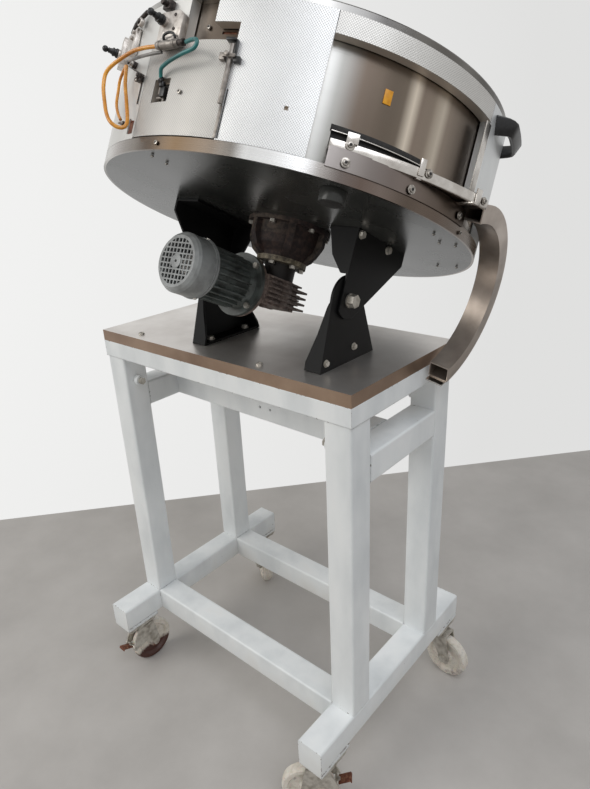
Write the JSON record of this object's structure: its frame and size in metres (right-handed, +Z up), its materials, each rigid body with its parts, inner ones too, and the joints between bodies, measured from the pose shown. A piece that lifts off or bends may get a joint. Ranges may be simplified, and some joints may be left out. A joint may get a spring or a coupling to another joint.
{
  "type": "vibratory bowl feeder",
  "caption": "Leaning-drum rotary parts feeder with a turning feed disc, gear motor below, curved outlet chute, on a height-adjustable table with castors.",
  "frame": {"origin": "on the floor, below the centre of the stand", "axes": "+Z up, +X along the table towards the chute, +Y to the rear, where the drum leans"},
  "size_m": [0.8444, 0.7649, 1.5516],
  "materials": {
    "white_paint": "satin, chipped",
    "zinc": "dull zinc",
    "nylon": "worn",
    "rusty_steel": "rusty",
    "brushed_steel": "brushed",
    "bright_steel": "polished",
    "black_satin": "satin",
    "grey_satin": "satin",
    "cover_white": "fine dotted",
    "dark_steel": "oiled",
    "black_plastic": "gloss",
    "alloy": "machined",
    "amber_hose": "clear amber",
    "teal_hose": "gloss",
    "grey_hose": "matte",
    "rusty_cast": "rusty, dusty",
    "motor_grey": "satin",
    "motor_green": "oily satin"
  },
  "bodies": {
    "stand": {"stand_frame": "white_paint", "clamp_bolts": "zinc", "castor_plates": "zinc"},
    "table": {"lift_frame": "white_paint", "table_top": "brushed_steel", "bracket_lower_left": "black_satin", "bracket_lower_right": "black_satin", "table_screws": "zinc"},
    "drum": {"base_disc": "grey_satin", "base_band": "brushed_steel", "inner_wall": "brushed_steel", "top_rim": "bright_steel", "cover_main": "cover_white", "cover_door": "cover_white", "cover_left": "cover_white", "cover_strip": "cover_white", "cover_right": "cover_white", "covers_rear": "cover_white", "lower_plate": "brushed_steel", "outlet_ledge": "brushed_steel", "guide_rail": "bright_steel", "rail_clamps": "bright_steel", "socket_screws": "dark_steel", "handle": "black_plastic", "door_hinge": "zinc", "hose_manifold": "alloy", "hose_fittings": "dark_steel", "door_elbow": "black_plastic", "hose_amber": "amber_hose", "hose_link": "amber_hose", "hose_teal": "teal_hose", "hose_grey": "grey_hose", "chute": "brushed_steel", "chute_foot": "bright_steel", "base_post": "grey_satin", "bracket_upper_left": "black_satin", "bracket_upper_right": "black_satin", "hex_bolts": "zinc", "pivot_bolts": "zinc", "bell_housing": "rusty_cast", "bell_ring": "bright_steel", "gearbox": "rusty_cast", "motor_body": "motor_green", "motor_cowl": "motor_grey", "terminal_box": "motor_grey"},
    "disc": {"feed_disc": "brushed_steel", "drive_shaft": "dark_steel"},
    "rotor": {"motor_rotor": "dark_steel"},
    "knob_near": {"knob_near": "black_plastic"},
    "knob_far": {"knob_far": "black_plastic"},
    "fork_fl": {"castor_fork_fl": "zinc"},
    "wheel_fl": {"castor_wheel_fl": "nylon"},
    "pedal_fl": {"brake_pedal_fl": "rusty_steel"},
    "fork_fr": {"castor_fork_fr": "zinc"},
    "wheel_fr": {"castor_wheel_fr": "nylon"},
    "pedal_fr": {"brake_pedal_fr": "rusty_steel"},
    "fork_rl": {"castor_fork_rl": "zinc"},
    "wheel_rl": {"castor_wheel_rl": "nylon"},
    "fork_rr": {"castor_fork_rr": "zinc"},
    "wheel_rr": {"castor_wheel_rr": "nylon"}
  },
  "joints": [
    {"name": "table_lift", "type": "slide", "parent": "stand", "child": "table", "axis": [0, 0, 1], "range_m": [0, 0.12]},
    {"name": "drum_tilt", "type": "hinge", "parent": "table", "child": "drum", "pos_m": [0.08, -0.05, 1.069], "axis": [1, 0, 0], "range_deg": [-10, 10]},
    {"name": "disc_spin", "type": "hinge", "parent": "drum", "child": "disc", "pos_m": [0.08, 0.00427, 1.18382], "axis": [0, 0.4274, 0.9041], "continuous": true},
    {"name": "motor_spin", "type": "hinge", "parent": "drum", "child": "rotor", "pos_m": [0.05, -0.05449, 1.05951], "axis": [0, -0.9041, 0.4274], "continuous": true},
    {"name": "knob_near_turn", "type": "hinge", "parent": "drum", "child": "knob_near", "pos_m": [0.076, -0.2625, 1.51566], "axis": [0, -0.9041, 0.4274], "range_deg": [-150, 150]},
    {"name": "knob_far_turn", "type": "hinge", "parent": "drum", "child": "knob_far", "pos_m": [-0.10918, -0.21733, 1.4943], "axis": [-0.4848, -0.7907, 0.3738], "range_deg": [-150, 150]},
    {"name": "swivel_fl", "type": "hinge", "parent": "stand", "child": "fork_fl", "pos_m": [-0.3252, -0.246, 0.1], "axis": [0, 0, 1], "continuous": true},
    {"name": "roll_fl", "type": "hinge", "parent": "fork_fl", "child": "wheel_fl", "pos_m": [-0.32459, -0.211, 0.058], "axis": [0.9998, -0.0175, 0], "continuous": true},
    {"name": "brake_fl", "type": "hinge", "parent": "fork_fl", "child": "pedal_fl", "pos_m": [-0.32567, -0.27281, 0.07456], "axis": [0.9998, -0.0175, 0], "range_deg": [0, 14]},
    {"name": "swivel_fr", "type": "hinge", "parent": "stand", "child": "fork_fr", "pos_m": [0.3252, -0.246, 0.1], "axis": [0, 0, 1], "continuous": true},
    {"name": "roll_fr", "type": "hinge", "parent": "fork_fr", "child": "wheel_fr", "pos_m": [0.29653, -0.26608, 0.058], "axis": [-0.5736, 0.8192, 0], "continuous": true},
    {"name": "brake_fr", "type": "hinge", "parent": "fork_fr", "child": "pedal_fr", "pos_m": [0.34717, -0.23062, 0.07456], "axis": [-0.5736, 0.8192, 0], "range_deg": [0, 14]},
    {"name": "swivel_rl", "type": "hinge", "parent": "stand", "child": "fork_rl", "pos_m": [-0.3252, 0.246, 0.1], "axis": [0, 0, 1], "continuous": true},
    {"name": "roll_rl", "type": "hinge", "parent": "fork_rl", "child": "wheel_rl", "pos_m": [-0.29489, 0.2285, 0.058], "axis": [-0.5, -0.866, 0], "continuous": true},
    {"name": "swivel_rr", "type": "hinge", "parent": "stand", "child": "fork_rr", "pos_m": [0.3252, 0.246, 0.1], "axis": [0, 0, 1], "continuous": true},
    {"name": "roll_rr", "type": "hinge", "parent": "fork_rr", "child": "wheel_rr", "pos_m": [0.36007, 0.24295, 0.058], "axis": [-0.0872, -0.9962, 0], "continuous": true}
  ],
  "couplings": [
    {"joint": "motor_spin", "follows": "disc_spin", "ratio": 30}
  ]
}
